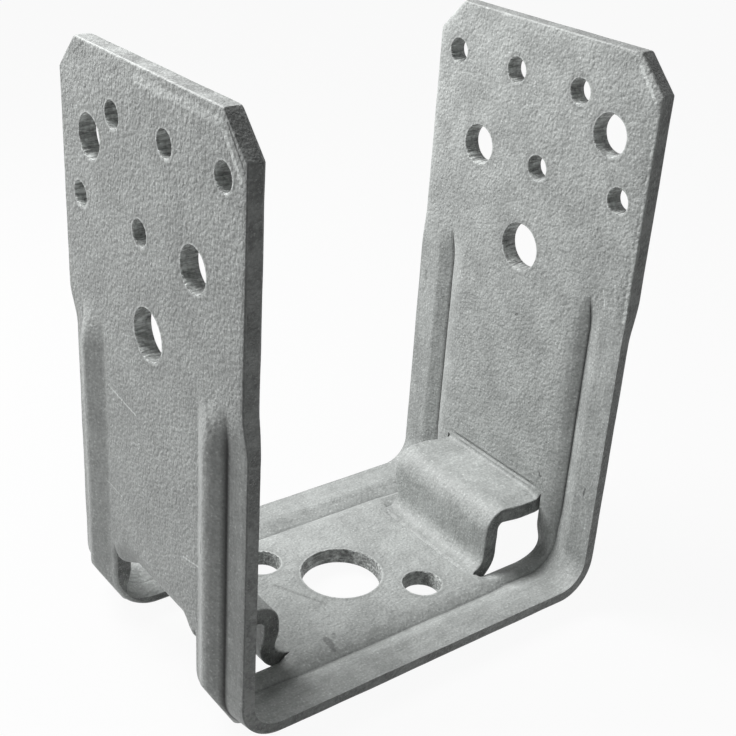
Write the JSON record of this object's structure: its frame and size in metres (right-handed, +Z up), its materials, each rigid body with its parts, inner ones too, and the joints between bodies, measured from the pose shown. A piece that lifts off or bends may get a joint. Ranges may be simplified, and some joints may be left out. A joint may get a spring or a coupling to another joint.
{
  "type": "post base",
  "caption": "U-shaped post base folded from thick galvanised plate, with pressed ribs, sheared corner steps that seat the post, and holes for an anchor, a through bolt, screws and nails.",
  "frame": {"origin": "on the ground under the middle of the anchor hole", "axes": "+Z up, +X from the left upright to the right one across the post, +Y along the uprights' width, away from the picture's camera"},
  "size_m": [0.1032, 0.068, 0.13],
  "materials": {
    "zinc": "hot-dip galvanised, satin"
  },
  "bodies": {
    "root": {"post_base": "zinc"}
  },
  "joints": []
}
